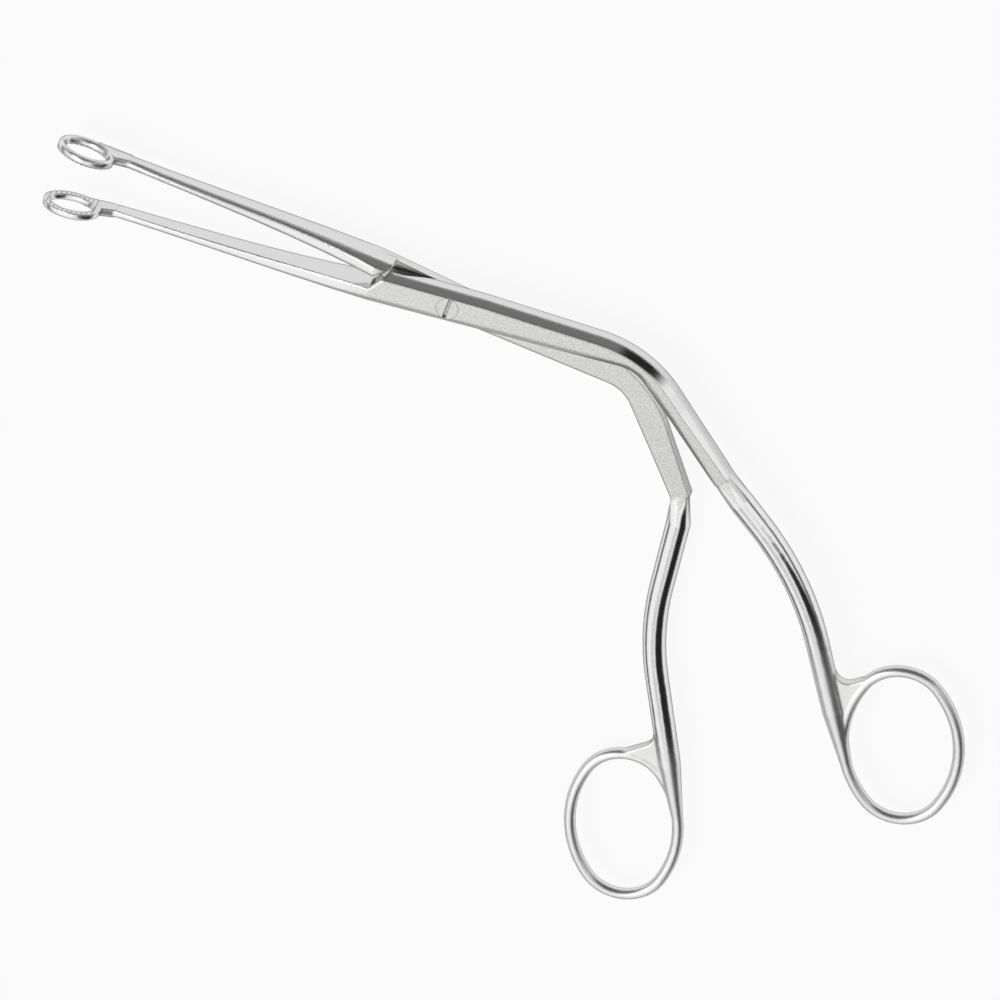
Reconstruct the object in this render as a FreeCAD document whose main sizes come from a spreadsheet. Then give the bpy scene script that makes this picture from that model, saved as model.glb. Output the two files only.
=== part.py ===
import FreeCAD, Part
import math
import os
import Sketcher

# Magill forceps, adult pattern, in millimetres.
# The origin is on the pivot axis at the flat underside of the joint, +Z towards the screw head.
# Each arm is drawn in the closed instrument's frame: the jaws reach along -X, the closing line is Y = 0.
# The arms then turn about the pivot by half the opening each, which gives the pose at rest.

sizeTable = {
    # Joint
    "lapThickness": 4.5,
    "lapGap": 0.10,
    "lapWidth": 8.6,
    "frontLapTaper": 0.5,
    "rearLapTaper": 1.4,
    "restOpening": 8.1,
    "shoulderInnerX": 18.9,
    "shoulderOuterX": 14.9,
    "shoulderClearance": 0.25,
    "lapChamfer": 1.7,
    # Pivot screw
    "screwHeadDiameter": 5.2,
    "screwShankDiameter": 3.4,
    "screwHeadCone": 0.9,
    "screwHeadRim": 0.5,
    "screwClearance": 0.05,
    "slotWidth": 0.9,
    "slotDepth": 0.8,
    # Jaws
    "jawRootInset": 0.3,
    "jawWaistX": 31.0,
    "jawWaistHalf": 3.4,
    "jawWaistDepth": 4.1,
    "jawWaistInset": 0.65,
    "jawMiddleX": 57.0,
    "jawMiddleHalf": 2.4,
    "jawMiddleDepth": 3.0,
    "jawMiddleInset": 0.75,
    "jawNeckX": 83.5,
    "jawNeckHalf": 1.5,
    "jawNeckDepth": 2.05,
    "jawChamferNeck": 0.45,
    # Fenestrated tips
    "gripGap": 0.2,
    "tipX": 90.55,
    "tipLength": 13.6,
    "tipWidth": 10.1,
    "tipWall": 1.5,
    "tipDepth": 1.9,
    "tipRound": 0.7,
    "toothPitch": 1.1,
    "toothDepth": 0.22,
    # Flat shanks
    "frontReach": 46.5,
    "frontDrop": 0.2,
    "frontBend": 45.0,
    "frontFlatLength": 35.0,
    "frontBendWidth": 5.9,
    "frontEndWidth": 4.7,
    "rearReach": 46.3,
    "rearDrop": 0.6,
    "rearBend": 50.6,
    "rearFlatLength": 32.3,
    "rearBendWidth": 7.2,
    "rearEndWidth": 4.5,
    "bendOuterRadius": 30.0,
    "bendInnerRadius": 9.0,
    "bendRun": 16.0,
    "shankEndBevel": 0.9,
    "shankPlay": 0.02,
    # Round shanks and finger rings
    "rodDiameter": 5.4,
    "frontRodStart": 6.0,
    "rearRodStart": 5.8,
    "transitionInset": 1.5,
    "transitionLength": 7.0,
    "transitionPlay": 0.15,
    "ringWire": 2.8,
    "frontRodX": 69.33,
    "frontRodY": 23.28,
    "frontKneeX": 94.62,
    "frontKneeY": 45.67,
    "frontKneeRadius": 80.0,
    "frontRingX": 126.74,
    "frontRingY": 82.83,
    "frontRingTurn": 12.3,
    "frontHoleLength": 38.0,
    "frontHoleWidth": 24.7,
    "rearRodX": 67.28,
    "rearRodY": 23.72,
    "rearKneeX": 72.25,
    "rearKneeY": 62.24,
    "rearKneeRadius": 69.0,
    "rearRingX": 84.81,
    "rearRingY": 114.43,
    "rearRingTurn": 19.5,
    "rearHoleLength": 35.9,
    "rearHoleWidth": 23.5,
    "ringEndRadius": 10.6,
    "webThickness": 2.4,
    "webCorner": 3.0,
    "webRimShare": 0.25,
    "taperLength": 14.0,
    "taperOverrun": 3.0,
    "taperEndShare": 0.85,
    "frontWebTurn": 28.0,
    "rearWebTurn": -19.5,
}


class Size:
    """A value that knows both its number and its spreadsheet formula."""

    def __init__(self, value, text):
        self.value = float(value)
        self.text = text

    @staticmethod
    def of(other):
        return other if isinstance(other, Size) else Size(other, repr(float(other)))

    def __add__(self, other):
        other = Size.of(other)
        return Size(self.value + other.value, "(%s + %s)" % (self.text, other.text))

    def __sub__(self, other):
        other = Size.of(other)
        return Size(self.value - other.value, "(%s - %s)" % (self.text, other.text))

    def __mul__(self, other):
        other = Size.of(other)
        return Size(self.value * other.value, "(%s * %s)" % (self.text, other.text))

    def __truediv__(self, other):
        other = Size.of(other)
        return Size(self.value / other.value, "(%s / %s)" % (self.text, other.text))

    def __radd__(self, other):
        return Size.of(other) + self

    def __rsub__(self, other):
        return Size.of(other) - self

    def __rmul__(self, other):
        return Size.of(other) * self

    def __neg__(self):
        return Size(-self.value, "(-%s)" % self.text)


def sine(angle):
    return Size(math.sin(math.radians(angle.value)), "sin(%s * 1 deg)" % angle.text)


def cosine(angle):
    return Size(math.cos(math.radians(angle.value)), "cos(%s * 1 deg)" % angle.text)


def tangent(angle):
    return Size(math.tan(math.radians(angle.value)), "tan(%s * 1 deg)" % angle.text)


doc = FreeCAD.newDocument("magill_forceps")
sheet = doc.addObject("Spreadsheet::Sheet", "sizes")
for row, (alias, number) in enumerate(sizeTable.items(), start=1):
    sheet.set("A%d" % row, alias)
    sheet.set("B%d" % row, repr(number))
    sheet.setAlias("B%d" % row, alias)
doc.recompute()


def size(alias):
    return Size(getattr(sheet, alias), "sizes.%s" % alias)


def bind(item, path, amount):
    item.setExpression(path, amount.text)


middle = size("lapThickness")


def newBody(name):
    body = doc.addObject("PartDesign::Body", name)
    body.Label = name
    return body


def originFeature(body, role):
    return next(item for item in body.Origin.OriginFeatures if item.Role == role)


def newSketch(body, name, role, height=None):
    """A sketch on one of the body's own origin planes, raised along the plane's normal by height."""
    sketch = body.newObject("Sketcher::SketchObject", name)
    sketch.AttachmentSupport = (originFeature(body, role), [""])
    sketch.MapMode = "FlatFace"
    if height is not None:
        bind(sketch, "AttachmentOffset.Base.z", height)
    return sketch


def pin(sketch, geometry, point, across, up):
    """Holds one point of the sketch at two sizes measured from the sketch's origin."""
    for kind, amount in (("DistanceX", Size.of(across)), ("DistanceY", Size.of(up))):
        index = sketch.addConstraint(Sketcher.Constraint(kind, -1, 1, geometry, point, amount.value))
        if "sizes" in amount.text:
            sketch.setExpression("Constraints[%d]" % index, amount.text)


def outline(sketch, points):
    """A closed run of straight lines through the given points."""
    numbers = [FreeCAD.Vector(Size.of(x).value, Size.of(y).value, 0) for x, y in points]
    for start, end in zip(numbers, numbers[1:] + numbers[:1]):
        sketch.addGeometry(Part.LineSegment(start, end))
    count = len(points)
    for index in range(count):
        sketch.addConstraint(Sketcher.Constraint("Coincident", index, 2, (index + 1) % count, 1))
    for index, (x, y) in enumerate(points):
        pin(sketch, index, 1, x, y)


def circle(sketch, x, y, radius):
    centre = FreeCAD.Vector(Size.of(x).value, Size.of(y).value, 0)
    index = sketch.addGeometry(Part.Circle(centre, FreeCAD.Vector(0, 0, 1), radius.value))
    pin(sketch, index, 3, x, y)
    place = sketch.addConstraint(Sketcher.Constraint("Radius", index, radius.value))
    sketch.setExpression("Constraints[%d]" % place, radius.text)


def oval(sketch, x, y, halfLength, halfWidth):
    """An ellipse whose long axis runs along the sketch's X."""
    centre = FreeCAD.Vector(Size.of(x).value, Size.of(y).value, 0)
    curve = Part.Ellipse(centre, Size.of(halfLength).value, Size.of(halfWidth).value)
    sketch.addGeometry(curve)


def pad(body, sketch, name, length, middlePlane=False, reverse=False):
    feature = body.newObject("PartDesign::Pad", name)
    feature.Profile = sketch
    bind(feature, "Length", length)
    feature.Midplane = middlePlane
    feature.Reversed = reverse
    return feature


def pocket(body, sketch, name, length, middlePlane=False, reverse=False):
    feature = body.newObject("PartDesign::Pocket", name)
    feature.Profile = sketch
    bind(feature, "Length", length)
    feature.Midplane = middlePlane
    feature.Reversed = reverse
    return feature


def edgeNames(shape, wanted):
    return ["Edge%d" % (index + 1) for index, edge in enumerate(shape.Edges) if wanted(edge)]


def dress(body, kind, name, wanted, amount, path):
    """A fillet or chamfer on the edges of the body's present shape that pass the test."""
    doc.recompute()
    base = body.Tip
    names = edgeNames(base.Shape, wanted)
    feature = body.newObject("PartDesign::" + kind, name)
    feature.Base = (base, names)
    bind(feature, path, amount)
    return feature


def jawSection(body, name, along, half, inset, depth, chamfer, side):
    """The shaft's hexagon: flat sharp-edged inner face, bevelled outer edges."""
    sketch = newSketch(body, name, "YZ_Plane", -along)
    corners = [
        (-inset, middle + half),
        (-depth + chamfer, middle + half),
        (-depth, middle + half - chamfer),
        (-depth, middle - half + chamfer),
        (-depth + chamfer, middle - half),
        (-inset, middle - half),
    ]
    outline(sketch, [(side * y, z) for y, z in corners])
    return sketch


def addTip(body, side):
    """The fenestrated tip: an oval ring that stands across the opening plane, toothed on its grip face."""
    face = size("gripGap") / 2
    halfLength = size("tipLength") / 2
    halfWidth = size("tipWidth") / 2
    wall = size("tipWall")
    centreX = -size("tipX")
    back = middle - size("jawNeckHalf")
    centreZ = back + halfWidth
    ring = newSketch(body, "tipRing", "XZ_Plane", side * face)
    oval(ring, centreX, centreZ, halfLength, halfWidth)
    oval(ring, centreX, centreZ, halfLength - wall, halfWidth - wall)
    pad(body, ring, "tipRingPad", size("tipDepth"), reverse=side < 0)
    outerY = -side * (face + size("tipDepth")).value
    dress(
        body, "Fillet", "tipRounding",
        lambda edge: abs(edge.CenterOfMass.y - outerY) < 0.01 and edge.BoundBox.YLength < 0.01,
        size("tipRound"), "Radius",
    )
    neck = newSketch(body, "tipNeck", "XZ_Plane", side * face)
    heelX = centreX + halfLength
    outline(neck, [
        (centreX + wall, back + wall * 0.3),
        (-size("jawNeckX") + 3, back),
        (-size("jawNeckX") + 3, middle + size("jawNeckHalf")),
        (heelX - 0.45, centreZ - 0.8),
        (heelX - wall * 1.6, centreZ - halfWidth * 0.55),
        (centreX + wall, back + wall * 0.7),
    ])
    pad(body, neck, "tipNeckPad", size("tipDepth") + face, reverse=side < 0)


def addTeeth(body, side):
    """Fine cross grooves over the grip face."""
    face = size("gripGap") / 2
    pitch = size("toothPitch")
    depth = size("toothDepth")
    startX = -size("tipX") - size("tipLength") / 2 + pitch
    groove = newSketch(body, "toothGroove", "XY_Plane", middle + size("tipWidth") / 2 - size("jawNeckHalf"))
    outline(groove, [
        (startX - depth, -side * (face - 0.02)),
        (startX + depth, -side * (face - 0.02)),
        (startX, -side * (face + depth)),
    ])
    cut = pocket(body, groove, "toothCut", size("tipWidth") + 2, middlePlane=True)
    doc.recompute()
    pattern = body.newObject("PartDesign::LinearPattern", "teeth")
    pattern.Originals = [cut]
    pattern.Direction = (originFeature(body, "X_Axis"), [""])
    count = int(size("tipLength").value / pitch.value) - 1
    pattern.Occurrences = count
    bind(pattern, "Length", pitch * (count - 1))
    body.Tip = pattern


def addJaw(body, side):
    """The tapering jaw shaft, lofted through four stations from the tip's neck to the joint."""
    chamferRoot = size("lapChamfer")
    chamferNeck = size("jawChamferNeck")
    chamferMiddle = (chamferRoot + chamferNeck) / 2
    stations = [
        ("jawNeck", size("jawNeckX"), size("jawNeckHalf"), size("gripGap") / 2, size("jawNeckDepth"),
         chamferNeck),
        ("jawMiddle", size("jawMiddleX"), size("jawMiddleHalf"), size("jawMiddleInset"),
         size("jawMiddleDepth"), (chamferMiddle + chamferNeck) / 2),
        ("jawWaist", size("jawWaistX"), size("jawWaistHalf"), size("jawWaistInset"),
         size("jawWaistDepth"), chamferMiddle),
        ("jawRoot", size("shoulderInnerX"), middle, size("jawRootInset"), size("lapWidth") / 2,
         chamferRoot),
    ]
    sections = [jawSection(body, name, *numbers, side) for name, *numbers in stations]
    loft = body.newObject("PartDesign::AdditiveLoft", "jawShaft")
    loft.Profile = sections[0]
    loft.Sections = sections[1:]
    loft.Ruled = False


def addPlate(body, points, lowZ, highZ):
    """The half-thick lap plate with its flat shank."""
    plan = newSketch(body, "lapPlan", "XY_Plane", lowZ)
    outline(plan, points)
    pad(body, plan, "lapPlate", highZ - lowZ)


def addRoot(body, side):
    """The jaw's root in the other arm's half of the thickness; it ends at the slanted shoulder."""
    half = size("lapWidth") / 2
    inset = size("jawRootInset")
    chamfer = size("lapChamfer")
    run = size("shoulderInnerX") - size("shoulderOuterX")
    slope = run / (half + inset)
    innerX = -size("shoulderInnerX") - size("shoulderClearance")
    overlap = 1
    section = newSketch(body, "rootSection", "YZ_Plane", -size("shoulderInnerX"))
    corners = [
        (-inset, overlap), (-half, overlap), (-half, -middle + chamfer), (-half + chamfer, -middle),
        (-inset, -middle),
    ]
    outline(section, [(side * y, middle + side * z) for y, z in corners])
    pad(body, section, "rootBlock", run)
    cut = newSketch(body, "shoulderPlan", "XY_Plane", middle - side * middle)
    outline(cut, [
        (innerX + (2 * inset - overlap) * slope, -side * (inset - overlap)),
        (innerX + (half + inset + overlap) * slope, -side * (half + overlap)),
        (-size("shoulderOuterX") + overlap, -side * (half + overlap)),
        (-size("shoulderOuterX") + overlap, -side * (inset - overlap)),
    ])
    pocket(body, cut, "shoulder", middle + size("lapGap") / 2, reverse=side > 0)


def near(edge, x, y, reach):
    centre = edge.CenterOfMass
    return math.hypot(centre.x - x, centre.y - y) < reach


def lapOutline(side, reach, drop, bend, flatLength, bendWidth, endWidth):
    """The plan of the lap plate: shoulder, straight, bend and the first stretch of the flat shank."""
    half = size("lapWidth") / 2
    lean = tangent(bend / 2)
    run = size("bendRun")
    plateWidth = bendWidth - (bendWidth - endWidth) * run / flatLength
    endX = reach + run * cosine(bend)
    endY = -drop - run * sine(bend)
    acrossX = plateWidth / 2 * sine(bend)
    acrossY = plateWidth / 2 * cosine(bend)
    points = [
        (reach + bendWidth / 2 * lean, -drop + bendWidth / 2),
        (endX + acrossX, endY + acrossY),
        (endX - acrossX, endY - acrossY),
        (reach - bendWidth / 2 * lean, -drop - bendWidth / 2),
    ]
    upper = [(-size("shoulderOuterX"), half), (8, half)]
    lower = [(8, -half + size("frontLapTaper")), (-size("shoulderInnerX"), -half)]
    if side < 0:
        upper = [(-size("shoulderInnerX"), half), (8, half - size("rearLapTaper"))]
        lower = [(8, -half), (-size("shoulderOuterX"), -half)]
    return upper + points + lower + [(-size("shoulderInnerX"), -side * size("jawRootInset"))]


def roundBend(body, points):
    """Rounds the two corners of the bend, on the vertical edges of the lap plate."""
    for label, index, radius in (("bendOuter", 2, "bendOuterRadius"), ("bendInner", 5, "bendInnerRadius")):
        x, y = [Size.of(number).value for number in points[index]]
        dress(
            body, "Fillet", label,
            lambda edge: edge.BoundBox.ZLength > 1 and edge.BoundBox.XLength < 0.01 and near(edge, x, y, 0.1),
            size(radius), "Radius",
        )


def bevelFace(body, faceZ, plateEnd):
    """Bevels the long edges of the plate's open face, not those at the jaw's root and the plate's end."""
    inner = -size("shoulderInnerX").value
    outer = -size("shoulderOuterX").value

    def wanted(edge):
        box = edge.BoundBox
        if box.ZLength > 0.01 or abs(edge.CenterOfMass.z - faceZ.value) > 0.01:
            return False
        if near(edge, plateEnd.x, plateEnd.y, 0.1):
            return False
        return not (box.XMin < inner + 0.01 and box.XMax < outer + 0.5)

    dress(body, "Chamfer", "faceBevel", wanted, size("lapChamfer"), "Size")


def vector(x, y):
    return FreeCAD.Vector(x, y, 0)


def tiltedPlane(body, start, ring, startZ):
    """The plane of one handle: it starts at the middle of the flat and brings the ring to mid-height."""
    run = vector(ring.x - start.x, ring.y - start.y)
    tilt = math.degrees(math.atan2(startZ - middle.value, run.Length))
    plane = body.newObject("PartDesign::Plane", "handlePlane")
    plane.AttachmentSupport = (originFeature(body, "XY_Plane"), [""])
    plane.MapMode = "FlatFace"
    turn = FreeCAD.Rotation(vector(-run.y, run.x), tilt)
    plane.AttachmentOffset = FreeCAD.Placement(FreeCAD.Vector(start.x, start.y, startZ), turn)
    return plane


def planeSketch(body, name, plane):
    sketch = body.newObject("Sketcher::SketchObject", name)
    sketch.AttachmentSupport = (plane, [""])
    sketch.MapMode = "FlatFace"
    return sketch


def wireSection(body, name, spine, edge, along, radius):
    """A round section square to one edge of a spine."""
    sketch = squareSketch(body, name, spine, edge, along)
    circle(sketch, 0, 0, radius)
    return sketch


def kneeArc(start, knee, end, radius):
    """The two straights and the arc between them, for a path that turns at the knee."""
    before = (start - knee).normalize()
    after = (end - knee).normalize()
    half = before.getAngle(after) / 2
    inset = radius / math.tan(half)
    centre = knee + (before + after).normalize() * (radius / math.sin(half))
    first = knee + before * inset
    last = knee + after * inset
    crown = centre + (knee - centre).normalize() * radius
    return first, crown, last


class RingPath:
    """The finger ring's centre line: an oval of four arcs, two small ones at the ends, two at the sides."""

    def __init__(self, words, centre, side):
        self.centre = centre
        turn = size(words + "RingTurn").value
        self.longHalf = (size(words + "HoleLength") + size("ringWire")).value / 2
        self.shortHalf = (size(words + "HoleWidth") + size("ringWire")).value / 2
        self.endRadius = size("ringEndRadius").value
        along = self.longHalf - self.endRadius
        short = self.shortHalf - self.endRadius
        self.sideShift = (along ** 2 - short ** 2) / (2 * short)
        self.sideRadius = self.shortHalf + self.sideShift
        self.joint = math.degrees(math.atan2(self.sideShift, along))
        heading = math.radians(90 + turn)
        self.longAxis = vector(math.cos(heading), math.sin(heading))
        self.shortAxis = vector(-side * self.longAxis.y, side * self.longAxis.x)

    def normal(self, angle):
        radians = math.radians(angle)
        return self.longAxis * math.cos(radians) + self.shortAxis * math.sin(radians)

    def point(self, angle):
        """The point of the oval whose outward normal stands at this angle from the long axis."""
        normal = self.normal(angle)
        if abs(normal.dot(self.longAxis)) > math.cos(math.radians(self.joint)):
            end = math.copysign(self.longHalf - self.endRadius, normal.dot(self.longAxis))
            return self.centre + self.longAxis * end + normal * self.endRadius
        shift = math.copysign(self.sideShift, normal.dot(self.shortAxis))
        return self.centre - self.shortAxis * shift + normal * self.sideRadius

    def touchAngle(self, outside):
        """The normal's angle where a line from the outside point touches the near side of the oval."""
        reach = outside - (self.centre - self.shortAxis * self.sideShift)
        spread = math.acos(self.sideRadius / reach.Length)
        return math.degrees(math.atan2(reach.dot(self.shortAxis), reach.dot(self.longAxis)) + spread)

    def arcs(self):
        stops = [-self.joint, self.joint, 180 - self.joint, 180 + self.joint, 360 - self.joint]
        return [
            Part.Arc(self.point(first), self.point((first + last) / 2), self.point(last))
            for first, last in zip(stops, stops[1:])
        ]


def squareSketch(body, name, guide, edge, along):
    """An empty sketch square to one edge of a guide."""
    sketch = body.newObject("Sketcher::SketchObject", name)
    sketch.AttachmentSupport = (guide, [edge])
    sketch.MapMode = "NormalToEdge"
    sketch.MapPathParameter = along
    return sketch


def inSection(sketch, frame, centre, heading, across, up):
    """A point across and up from a point of the guide, in the coordinates of the sketch square to it."""
    spot = centre + vector(-heading.y, heading.x) * across + FreeCAD.Vector(0, 0, up)
    return sketch.Placement.inverse().multVec(frame.multVec(spot))


def drawSides(sketch, frame, centre, heading, corners):
    points = [inSection(sketch, frame, centre, heading, across, up) for across, up in corners]
    for start, end in zip(points, points[1:] + points[:1]):
        sketch.addGeometry(Part.LineSegment(start, end))


def bevelledCorners(half, low, high, side, bevel):
    """The flat shank's section, across and up, bevelled along the arm's open face."""
    if side > 0:
        return [
            (half, low), (half, high - bevel), (half - bevel, high),
            (-half + bevel, high), (-half, high - bevel), (-half, low),
        ]
    return [
        (half, low + bevel), (half, high), (-half, high),
        (-half, low + bevel), (-half + bevel, low), (half - bevel, low),
    ]


def addShank(body, side, words, bendPoint, along, lowZ, highZ):
    """The flat shank past the bend: it narrows, and its bevels with it, down to the round shank."""
    endRun = size(words + "FlatLength").value
    startRun = size("bendRun").value - size("transitionInset").value
    startWidth = size(words + "BendWidth").value
    narrowing = (startWidth - size(words + "EndWidth").value) / endRun
    stations = [
        ("shankStart", 0, startRun, size("lapChamfer").value),
        ("shankEnd", 1, endRun, size("shankEndBevel").value),
    ]
    guide = newSketch(body, "shankLine", "XY_Plane", (lowZ + highZ) / 2)
    guide.addGeometry(Part.LineSegment(bendPoint + along * startRun, bendPoint + along * endRun))
    sections = [squareSketch(body, name, guide, "Edge1", place) for name, place, run, bevel in stations]
    doc.recompute()
    rise = (highZ - lowZ).value / 2 - size("shankPlay").value
    for sketch, (name, place, run, bevel) in zip(sections, stations):
        half = (startWidth - narrowing * run) / 2 - size("shankPlay").value
        corners = bevelledCorners(half, -rise, rise, side, bevel)
        drawSides(sketch, guide.Placement, bendPoint + along * run, along, corners)
    loft = body.newObject("PartDesign::AdditiveLoft", "flatShank")
    loft.Profile = sections[0]
    loft.Sections = [sections[1]]


def addTransition(body, plane, flatStart, along, rodStart, outward, corners, radius):
    """Leads the bevelled flat into the round rod with one loft between two sections of six sides."""
    guide = planeSketch(body, "transitionGuide", plane)
    guide.addGeometry(Part.LineSegment(flatStart, flatStart + along))
    guide.addGeometry(Part.LineSegment(rodStart, rodStart + outward))
    flatSection = squareSketch(body, "flatSection", guide, "Edge1", 0)
    roundSection = squareSketch(body, "roundSection", guide, "Edge2", 0)
    doc.recompute()
    drawSides(flatSection, plane.Placement, flatStart, along, corners)

    def rim(angle):
        across = radius * math.cos(angle)
        up = radius * math.sin(angle)
        return inSection(roundSection, plane.Placement, rodStart, outward, across, up)

    angles = [math.atan2(up, across) for across, up in corners]
    for start, end in zip(angles, angles[1:] + angles[:1]):
        turn = (end - start) % (2 * math.pi)
        roundSection.addGeometry(Part.Arc(rim(start), rim(start + turn / 2), rim(end)))
    loft = body.newObject("PartDesign::AdditiveLoft", "transition")
    loft.Profile = flatSection
    loft.Sections = [roundSection]


def addWeb(body, plane, path, touchAngle, back, words):
    """The flat web in the corner between the shank and the ring, with a rounded free edge."""
    rod = size("rodDiameter").value / 2
    touch = path.point(touchAngle)
    toRing = path.centre - touch
    inside = (toRing - back * toRing.dot(back)).normalize()
    rodEdge = touch + inside * rod
    webTurn = size(words + "WebTurn").value
    normal = path.normal(webTurn)
    rim = path.point(webTurn) + normal * (size("ringWire").value * size("webRimShare").value)
    run = vector(-normal.y, normal.x)
    if run.dot(toRing) > 0:
        run = -run
    gap = rodEdge - rim
    corner = rim + run * ((gap.x * back.y - gap.y * back.x) / (run.x * back.y - run.y * back.x))
    opening = (-run).getAngle(back) / 2
    radius = size("webCorner").value
    inset = radius / math.tan(opening)
    first = corner + back * inset
    last = corner - run * inset
    crown = corner + (back - run).normalize() * (radius / math.sin(opening) - radius)
    steps = 6
    turns = [webTurn + (touchAngle - webTurn) * index / steps for index in range(steps + 1)]
    chain = [last] + [path.point(turn) for turn in turns] + [first - inside * rod, first]
    web = planeSketch(body, "webPlan", plane)
    for start, end in zip(chain, chain[1:]):
        web.addGeometry(Part.LineSegment(start, end))
    web.addGeometry(Part.Arc(first, crown, last))
    pad(body, web, "web", size("webThickness"), middlePlane=True)


def addHandle(body, words, side, flatEnd, along, lowZ, highZ):
    """The round shank with its knee, the taper into the finger ring, the oval ring and the web."""
    start = vector(size(words + "RodX").value, -size(words + "RodY").value)
    ring = vector(size(words + "RingX").value, -size(words + "RingY").value)
    startZ = (lowZ + highZ) / 2
    plane = tiltedPlane(body, start, ring, startZ)
    wire = size("ringWire") / 2
    rod = size("rodDiameter") / 2
    thick = size(words + "RodStart") / 2
    knee = vector(size(words + "KneeX").value, -size(words + "KneeY").value) - start
    path = RingPath(words, ring - start, side)
    touchAngle = path.touchAngle(knee)
    touch = path.point(touchAngle)
    back = (knee - touch).normalize()
    taperStart = touch + back * size("taperLength").value
    taperEnd = touch - back * size("taperOverrun").value
    first, crown, last = kneeArc(vector(0, 0), knee, touch, size(words + "KneeRadius").value)

    outward = vector(knee.x, knee.y).normalize()
    flatEnd = flatEnd - start
    flatStart = flatEnd - along * size("transitionInset").value
    rodStart = outward * (flatEnd.dot(outward) + size("transitionLength").value)
    play = size("transitionPlay").value
    halfWidth = size(words + "EndWidth").value / 2 - play
    bevel = size("shankEndBevel").value
    corners = bevelledCorners(halfWidth, lowZ - startZ + play, highZ - startZ - play, side, bevel)
    addTransition(body, plane, flatStart, along, rodStart, outward, corners, thick.value)

    spine = planeSketch(body, "rodSpine", plane)
    spine.addGeometry(Part.LineSegment(rodStart, first))
    spine.addGeometry(Part.Arc(first, crown, last))
    spine.addGeometry(Part.LineSegment(last, taperStart))
    pipe = body.newObject("PartDesign::AdditivePipe", "rod")
    pipe.Profile = wireSection(body, "rodSection", spine, "Edge1", 0, thick)
    pipe.Spine = (spine, ["Edge1", "Edge2", "Edge3"])
    pipe.Transformation = "Multisection"
    pipe.Sections = [wireSection(body, "rodLowerSection", spine, "Edge3", 1, rod)]

    taper = planeSketch(body, "taperLine", plane)
    taper.addGeometry(Part.LineSegment(taperStart, taperEnd))
    cone = body.newObject("PartDesign::AdditiveLoft", "rodTaper")
    cone.Profile = wireSection(body, "taperStart", taper, "Edge1", 0, rod)
    cone.Sections = [wireSection(body, "taperEnd", taper, "Edge1", 1, wire * size("taperEndShare"))]

    loop = planeSketch(body, "ringSpine", plane)
    loop.addGeometry(path.arcs())
    hoop = body.newObject("PartDesign::AdditivePipe", "fingerRing")
    hoop.Profile = wireSection(body, "ringSection", loop, "Edge1", 0, wire)
    hoop.Spine = (loop, ["Edge%d" % (index + 1) for index in range(4)])

    addWeb(body, plane, path, touchAngle, back, words)


def boreForScrew(body, seated):
    """The screw's hole: a running bore with its countersink in the front arm, a plain seat in the rear."""
    shank = size("screwShankDiameter") / 2
    play = Size.of(0) if seated else size("screwClearance")
    head = size("screwHeadDiameter") / 2
    top = middle * 2
    sketch = newSketch(body, "screwBore", "XZ_Plane")
    seat = top - size("screwHeadCone") - size("screwHeadRim")
    profile = [(0, -1), (shank, -1), (shank, middle), (0, middle)]
    if not seated:
        profile = [
            (0, middle), (shank + play, middle), (shank + play, seat - play),
            (head + play, top - size("screwHeadRim") - play), (head + play, top + 1), (0, top + 1),
        ]
    outline(sketch, profile)
    groove = body.newObject("PartDesign::Groove", "screwHole")
    groove.Profile = sketch
    groove.ReferenceAxis = (sketch, ["V_Axis"])
    groove.Angle = 360


def buildScrew():
    """The flush slotted pivot screw."""
    body = newBody("pivot_screw")
    shank = size("screwShankDiameter") / 2
    head = size("screwHeadDiameter") / 2
    top = middle * 2
    rim = top - size("screwHeadRim")
    sketch = newSketch(body, "screwProfile", "XZ_Plane")
    outline(sketch, [
        (0, 0), (shank, 0), (shank, rim - size("screwHeadCone")), (head, rim), (head, top), (0, top),
    ])
    turn = body.newObject("PartDesign::Revolution", "screwTurn")
    turn.Profile = sketch
    turn.ReferenceAxis = (sketch, ["V_Axis"])
    turn.Angle = 360
    slot = newSketch(body, "slotPlan", "XY_Plane", top)
    half = size("slotWidth") / 2
    outline(slot, [(-half, -head * 1.2), (half, -head * 1.2), (half, head * 1.2), (-half, head * 1.2)])
    pocket(body, slot, "slot", size("slotDepth"))
    return body


def buildArm(name, side, words, lowZ, highZ, openZ, seated):
    """One half of the forceps. side is +1 for the arm whose jaw lies below the closing line."""
    body = newBody(name)
    reach, drop, bend, flatLength, bendWidth, endWidth = [
        size(words + tail) for tail in ("Reach", "Drop", "Bend", "FlatLength", "BendWidth", "EndWidth")]
    points = lapOutline(side, reach, drop, bend, flatLength, bendWidth, endWidth)
    bendPoint = vector(reach.value, -drop.value)
    along = vector(cosine(bend).value, -sine(bend).value)
    addPlate(body, points, lowZ, highZ)
    roundBend(body, points)
    bevelFace(body, openZ, bendPoint + along * size("bendRun").value)
    addShank(body, side, words, bendPoint, along, lowZ, highZ)
    addRoot(body, side)
    addJaw(body, side)
    addTip(body, side)
    addTeeth(body, side)
    flatEnd = bendPoint + along * flatLength.value
    addHandle(body, words, side, flatEnd, along, lowZ.value, highZ.value)
    boreForScrew(body, seated)
    return body


gap = size("lapGap") / 2
front = buildArm("front_arm", 1, "front", middle + gap, middle * 2, middle * 2, False)
rear = buildArm("rear_arm", -1, "rear", Size.of(0), middle - gap, Size.of(0), True)
screw = buildScrew()
for body, side in ((front, 1), (rear, -1), (screw, -1)):
    turn = size("restOpening") / 2 * side
    body.Placement = FreeCAD.Placement(vector(0, 0), FreeCAD.Rotation(FreeCAD.Vector(0, 0, 1), turn.value))
    bind(body, "Placement.Rotation.Angle", turn)
doc.recompute()

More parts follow.
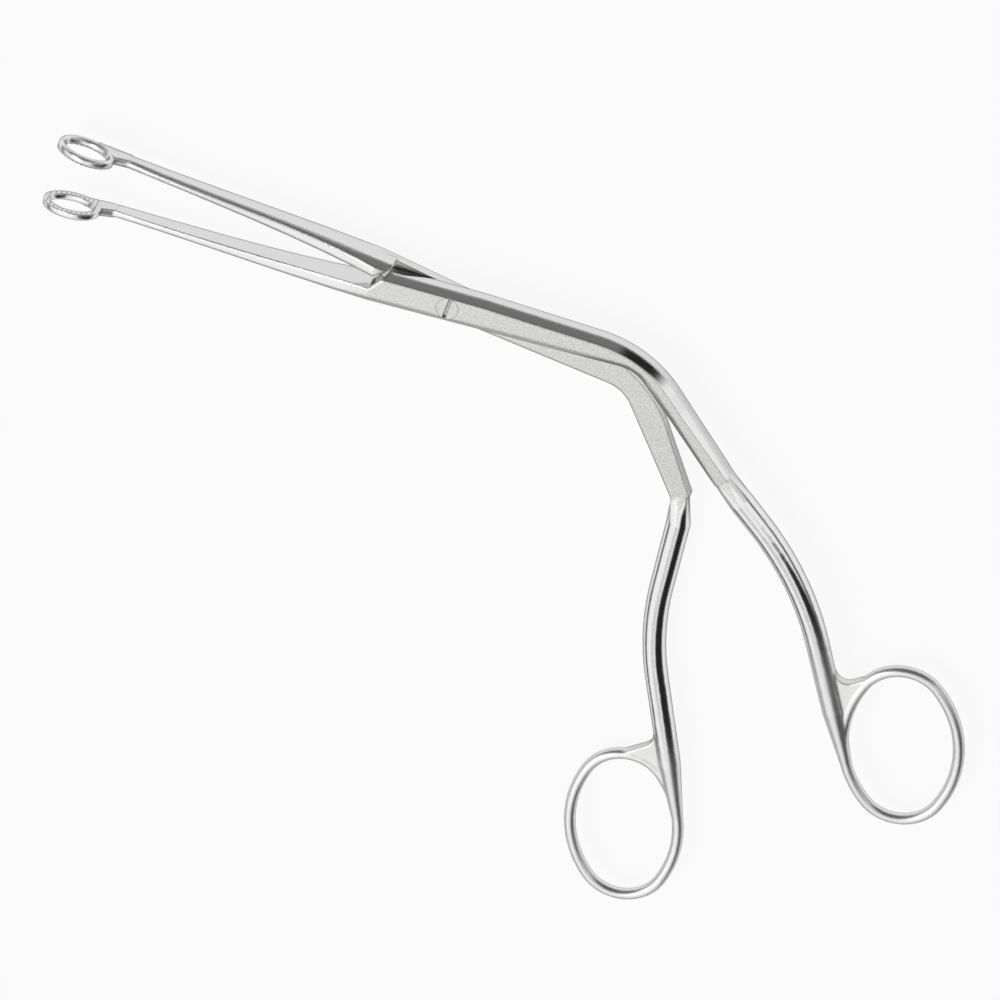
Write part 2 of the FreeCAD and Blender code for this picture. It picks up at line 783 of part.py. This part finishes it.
for item in doc.Objects:
    if "Invalid" in item.State or "Error" in item.State:
        raise RuntimeError("%s failed" % item.Label)
bodies = (front, rear, screw)
for body in bodies:
    if body.Shape.isNull() or not body.Shape.isValid() or len(body.Shape.Solids) != 1:
        raise RuntimeError("%s is not one sound solid" % body.Label)

os.makedirs("parts", exist_ok=True)
for body in bodies:
    box = body.Shape.BoundBox
    print("%s %.1f mm3, %.1f x %.1f x %.1f mm" % (
        body.Label, body.Shape.Volume, box.XLength, box.YLength, box.ZLength))
    body.Shape.exportStep("parts/%s.step" % body.Label)
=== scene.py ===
import math
import bpy
from mathutils import Matrix, Vector


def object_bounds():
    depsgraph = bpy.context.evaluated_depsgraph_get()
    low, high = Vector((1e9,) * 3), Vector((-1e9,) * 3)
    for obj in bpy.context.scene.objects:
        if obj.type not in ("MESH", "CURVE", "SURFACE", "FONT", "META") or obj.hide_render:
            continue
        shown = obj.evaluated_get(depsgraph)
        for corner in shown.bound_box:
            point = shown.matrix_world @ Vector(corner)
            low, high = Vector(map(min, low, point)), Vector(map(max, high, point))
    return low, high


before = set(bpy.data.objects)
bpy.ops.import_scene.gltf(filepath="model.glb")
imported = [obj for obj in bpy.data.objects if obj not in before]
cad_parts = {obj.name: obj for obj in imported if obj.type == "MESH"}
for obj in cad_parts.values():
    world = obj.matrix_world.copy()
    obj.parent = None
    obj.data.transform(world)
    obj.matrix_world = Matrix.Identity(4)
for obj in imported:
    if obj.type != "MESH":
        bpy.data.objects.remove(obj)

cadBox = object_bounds()


def linear(code):
    # sRGB hex to the linear colour that a socket takes
    channels = [int(code[i:i + 2], 16) / 255 for i in (1, 3, 5)]
    return [c / 12.92 if c <= 0.04045 else ((c + 0.055) / 1.055) ** 2.4 for c in channels] + [1.0]


camera = {
    "direction": (0.0446, 0.5131, 0.8572),   # from the object to the camera
    "up": (-0.3291, 0.8177, -0.4723),        # the picture's up, in the frame's axes
    "joint": (0.0, 0.0, 0.009),              # centre of the screw head
    "jointPixel": (447.0, 309.0),
    "picture": 1000,
    "mmPerPixel": 0.23,
    "distance": 1.6,
    "sensor": 36,
    "clipEnd": 20,
}


def makeCamera(values):
    back = Vector(values["direction"]).normalized()
    up = Vector(values["up"])
    up = (up - back * up.dot(back)).normalized()
    right = up.cross(back).normalized()
    scale = values["mmPerPixel"] / 1000
    centre = values["picture"] / 2
    across = (centre - values["jointPixel"][0]) * scale
    down = (centre - values["jointPixel"][1]) * scale
    target = Vector(values["joint"]) + right * across - up * down
    data = bpy.data.cameras.new("camera")
    data.sensor_width = values["sensor"]
    data.lens = values["sensor"] * values["distance"] / (values["picture"] * scale)
    data.clip_end = values["clipEnd"]
    item = bpy.data.objects.new("camera", data)
    bpy.context.collection.objects.link(item)
    turn = Matrix((right, up, back)).transposed().to_4x4()
    item.matrix_world = Matrix.Translation(target + back * values["distance"]) @ turn
    bpy.context.scene.camera = item


makeCamera(camera)
print("camera placed")


def addNode(tree, kind, links=None, values=None, **properties):
    # one node with its properties, its socket values and the links that lead into it
    node = tree.nodes.new(kind)
    for key, value in properties.items():
        setattr(node, key, value)
    for socket, value in (values or {}).items():
        node.inputs[socket].default_value = value
    for socket, source in (links or {}).items():
        tree.links.new(source, node.inputs[socket])
    return node


def newMaterial(name):
    material = bpy.data.materials.new(name)
    material.use_nodes = True
    material.node_tree.nodes.clear()
    return material, material.node_tree


def axisOf(tree, vector, axis):
    return addNode(tree, "ShaderNodeSeparateXYZ", {"Vector": vector}).outputs[axis]


def between(tree, source, fromRange, toRange, smooth=False):
    # carries a value from one range to another
    ends = dict(zip(("From Min", "From Max", "To Min", "To Max"), (*fromRange, *toRange)))
    kind = "SMOOTHSTEP" if smooth else "LINEAR"
    node = addNode(tree, "ShaderNodeMapRange", {"Value": source}, ends, interpolation_type=kind)
    return node.outputs["Result"]


def fade(tree, source, span):
    # 0 at the span's first end, 1 at its second
    return between(tree, source, span, (0, 1), smooth=True)


def nearness(tree, place, centre, reach):
    # 1 near a point, 0 far from it; reach is the far end and the near end of the fade
    node = addNode(tree, "ShaderNodeVectorMath", {0: place}, {1: centre}, operation="DISTANCE")
    return fade(tree, node.outputs["Value"], reach)


def noise(tree, place, size, detail):
    # size is the width of one grain in metres
    node = addNode(
        tree, "ShaderNodeTexNoise", {"Vector": place}, {"Scale": 1 / size, "Detail": detail})
    return node.outputs["Fac"]


def mix(tree, kind, sockets, share, first, second):
    # share and what is mixed are outputs of other nodes or plain values
    node = addNode(tree, "ShaderNodeMix", data_type=kind)
    for socket, source in zip(sockets, (share, first, second)):
        if isinstance(source, bpy.types.NodeSocket):
            tree.links.new(source, node.inputs[socket])
        else:
            node.inputs[socket].default_value = source
    return node


def mixFloat(tree, share, first, second):
    return mix(tree, "FLOAT", (0, 2, 3), share, first, second).outputs[0]


def mixColour(tree, share, first, second):
    return mix(tree, "RGBA", (0, 6, 7), share, first, second).outputs[2]


forgedSteel = {
    "satin": ("#c0c0be", "#d8d8d6"),     # the blasted faces, from grain to grain
    "polished": "#ececec",
    "grazing": "#868686",                # the steel gets darker where it turns away
    "satinRoughness": (0.30, 0.38),
    "polishedRoughness": (0.08, 0.13),
    "flat": (0.985, 0.997),              # how level a face is before it counts as blasted
    "speckle": (0.00045, 2.0),           # width and detail of the noise
    "speckleSpan": (0.35, 0.65),
    "grain": (0.00016, 2.0),
    "grainDepth": 0.000008,
    "smudge": (0.017, 3.0),              # slow changes left by hand finishing
    "smudgeSpan": (0.3, 0.7),
    "samples": 6,                        # of the nodes that feel for nearby faces
    "edge": 0.0009,                      # how far the sharp edges are eased
    "jawEdge": {"front_arm": 0.0009, "rear_arm": 0.0014, "pivot_screw": 0.0009},   # at the jaws
    "jawFrom": (-0.018, -0.026),         # where along X the jaws begin, polished all round
    "screwEdge": 0.0001,                 # on the screw head and the rim of its hole
    "screwTop": (0, 0, 0.009),
    "screwReach": (0.0042, 0.0030),
    "rings": [                           # centre and reach of the finger rings
        ((0.1323, -0.0737, 0.0045), (0.046, 0.024)),
        ((0.0765, -0.1201, 0.0045), (0.036, 0.018)),
    ],
    "ringRoughness": 0.36,               # the rings are duller than the shanks
    "webColour": "#e6e6e4",              # and their webs lighter
    "tipFrom": (-0.076, -0.081),         # where along X the tips begin, a little duller
    "tipRoughness": 0.20,
    "paintedShadeReach": 0.0009,                   # how near another face has to be for painted shade to gather
    "paintedShadeSpan": (0.30, 0.75),
    # the dark colour of the painted shade near other faces
    "paintedShadeColour": "#3c3c3a",
}


def blastedShare(tree, along, values):
    # 1 on the level faces, 0 on all others and on the jaws
    height = axisOf(tree, addNode(tree, "ShaderNodeNewGeometry").outputs["Normal"], "Z")
    level = addNode(tree, "ShaderNodeMath", {0: height}, operation="ABSOLUTE").outputs["Value"]
    flat = fade(tree, level, values["flat"])
    return mixFloat(tree, fade(tree, along, values["jawFrom"]), flat, 0.0)


def steelColour(tree, place, flat, rings, values):
    speckle = noise(tree, place, *values["speckle"])
    speckle = between(tree, speckle, values["speckleSpan"], (0, 1))
    darkest, lightest = values["satin"]
    satin = mixColour(tree, speckle, linear(darkest), linear(lightest))
    for ring in rings:
        satin = mixColour(tree, ring, satin, linear(values["webColour"]))
    colour = mixColour(tree, flat, linear(values["polished"]), satin)
    # painted shade: the colour darkens where other faces are near, in the slot and along the
    # seams
    clear = addNode(
        tree, "ShaderNodeAmbientOcclusion", values={"Distance": values["paintedShadeReach"]},
        samples=values["samples"]).outputs["AO"]
    clear = fade(tree, clear, values["paintedShadeSpan"])
    return mixColour(tree, clear, linear(values["paintedShadeColour"]), colour)


def steelRoughness(tree, place, along, flat, rings, values):
    smudge = noise(tree, place, *values["smudge"])
    rough = between(tree, smudge, values["smudgeSpan"], values["polishedRoughness"])
    for ring in rings:
        rough = mixFloat(tree, ring, rough, values["ringRoughness"])
    rough = mixFloat(tree, fade(tree, along, values["tipFrom"]), rough, values["tipRoughness"])
    satin = between(tree, smudge, values["smudgeSpan"], values["satinRoughness"])
    return mixFloat(tree, flat, rough, satin)


def easedNormal(tree, place, along, part, values):
    # sharp edges look rounded, most on the rear jaw and hardly at the screw
    radii = (values["edge"], values["jawEdge"][part])
    radius = between(tree, along, values["jawFrom"], radii, smooth=True)
    screw = nearness(tree, place, values["screwTop"], values["screwReach"])
    radius = mixFloat(tree, screw, radius, values["screwEdge"])
    node = addNode(tree, "ShaderNodeBevel", {"Radius": radius}, samples=values["samples"])
    return node.outputs["Normal"]


def makeForgedSteel(part, values):
    # stainless steel: blasted on the level faces, polished on bevels, sides, rounds and jaws
    material, tree = newMaterial(part + "Steel")
    place = addNode(tree, "ShaderNodeTexCoord").outputs["Object"]
    along = axisOf(tree, place, "X")
    flat = blastedShare(tree, along, values)
    rings = [nearness(tree, place, centre, reach) for centre, reach in values["rings"]]
    bump = addNode(
        tree, "ShaderNodeBump",
        {"Height": noise(tree, place, *values["grain"]),
         "Strength": flat,
         "Normal": easedNormal(tree, place, along, part, values)},
        {"Distance": values["grainDepth"]})
    shader = addNode(
        tree, "ShaderNodeBsdfPrincipled",
        {"Base Color": steelColour(tree, place, flat, rings, values),
         "Roughness": steelRoughness(tree, place, along, flat, rings, values),
         "Normal": bump.outputs["Normal"]},
        {"Metallic": 1.0, "Specular Tint": linear(values["grazing"])})
    addNode(tree, "ShaderNodeOutputMaterial", {"Surface": shader.outputs["BSDF"]})
    return material


for name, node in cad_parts.items():
    steel = makeForgedSteel(name, forgedSteel)
    for slot in node.material_slots:
        slot.material = steel
print("materials made")


studio = {
    "drop": 0.0006,          # how far the floor lies under the object
    "half": 3.0,
    "floor": "#f6f6f6",
    "ownLight": 0.9,         # the share of the floor's white that no shadow darkens
    "sky": [(0.0, 0.25), (0.04, 0.07), (0.24, 0.10), (0.40, 1.0)],   # brightness by height
}

# what the steel mirrors: a wall with a lit window, a dark ceiling and corner, and a dark card
wall = {
    "towards": (-0.14, 0.88, 0.42),
    "spread": (58, 46),      # degrees from its middle where it begins and is whole
    "levels": [(0.0, 0.30), (0.04, 0.04), (0.36, 0.04), (0.43, 0.18), (0.57, 0.20),
               (0.63, 0.02), (0.90, 0.03), (0.96, 1.0)],
}
ceiling = {
    "towards": (-0.10, 0.45, 0.89),
    "spread": (29, 19),
    "level": 0.03,
}
darkCorner = {
    "towards": (0.42, 0.76, 0.50),
    "spread": (17, 10),
    "level": 0.02,
}
card = {
    "towards": (0.77, -0.28, 0.573),
    "spread": (32, 24),
    "level": 0.02,
}


def grey(level):
    return (level, level, level, 1)


def makeFloor(values):
    mesh = bpy.data.meshes.new("floor")
    half = values["half"]
    height = cadBox[0].z - values["drop"]
    sides = ((-half, -half), (half, -half), (half, half), (-half, half))
    mesh.from_pydata([(x, y, height) for x, y in sides], [], [(0, 1, 2, 3)])
    floor = bpy.data.objects.new("floor", mesh)
    bpy.context.collection.objects.link(floor)
    material, tree = newMaterial("paleFloor")
    path = addNode(tree, "ShaderNodeLightPath")
    seen = addNode(
        tree, "ShaderNodeMath",
        {0: path.outputs["Is Camera Ray"], 1: path.outputs["Is Glossy Ray"]}, operation="ADD")
    share = mixFloat(tree, seen.outputs["Value"], 0.0, values["ownLight"])
    diffuse = addNode(tree, "ShaderNodeBsdfDiffuse", values={"Color": linear(values["floor"])})
    own = addNode(tree, "ShaderNodeEmission", values={"Color": grey(1), "Strength": 1.0})
    both = addNode(
        tree, "ShaderNodeMixShader",
        {0: share, 1: diffuse.outputs["BSDF"], 2: own.outputs["Emission"]})
    addNode(tree, "ShaderNodeOutputMaterial", {"Surface": both.outputs["Shader"]})
    mesh.materials.append(material)


def facing(tree, direction, values):
    # 1 in the middle of a patch of the surroundings, 0 outside it
    towards = Vector(values["towards"]).normalized()
    near = addNode(
        tree, "ShaderNodeVectorMath", {0: direction}, {1: towards}, operation="DOT_PRODUCT")
    begin, whole = [math.cos(math.radians(angle)) for angle in values["spread"]]
    return fade(tree, near.outputs["Value"], (begin, whole))


def byHeight(tree, height, levels):
    # brightness from the horizon up, as pairs of height and level
    ramp = addNode(tree, "ShaderNodeValToRGB", {"Fac": height})
    stops = ramp.color_ramp.elements
    while len(stops) < len(levels):
        stops.new(0.5)       # each stop gets its place below
    for stop, (place, level) in zip(stops, levels):
        stop.position = place
        stop.color = grey(level)
    return ramp.outputs["Color"]


def makeWorld(levels, lit, patches):
    # the sky, then the lit wall over it, then the dark patches over both
    world = bpy.data.worlds.new("studioWorld")
    bpy.context.scene.world = world
    world.use_nodes = True
    tree = world.node_tree
    tree.nodes.clear()
    direction = addNode(tree, "ShaderNodeTexCoord").outputs["Generated"]
    height = axisOf(tree, direction, "Z")
    sky = byHeight(tree, height, levels)
    window = byHeight(tree, height, lit["levels"])
    sky = mixColour(tree, facing(tree, direction, lit), sky, window)
    for patch in patches:
        sky = mixColour(tree, facing(tree, direction, patch), sky, grey(patch["level"]))
    light = addNode(tree, "ShaderNodeBackground", {"Color": sky}, {"Strength": 1.0})
    addNode(tree, "ShaderNodeOutputWorld", {"Surface": light.outputs["Background"]})


lamp = {
    "place": (-0.55, -0.25, 1.3),
    "aim": (0.02, -0.05, 0),
    "size": 0.5,
    "power": 4,
}


def makeLamp(values):
    data = bpy.data.lights.new("softLamp", "AREA")
    data.size = values["size"]
    data.energy = values["power"]
    item = bpy.data.objects.new("softLamp", data)
    bpy.context.collection.objects.link(item)
    item.location = values["place"]
    beam = Vector(values["aim"]) - Vector(values["place"])
    item.rotation_euler = beam.to_track_quat("-Z", "Y").to_euler()


makeFloor(studio)
makeWorld(studio["sky"], wall, (ceiling, darkCorner, card))
makeLamp(lamp)
bpy.context.scene.view_settings.view_transform = "Standard"
print("studio lit")
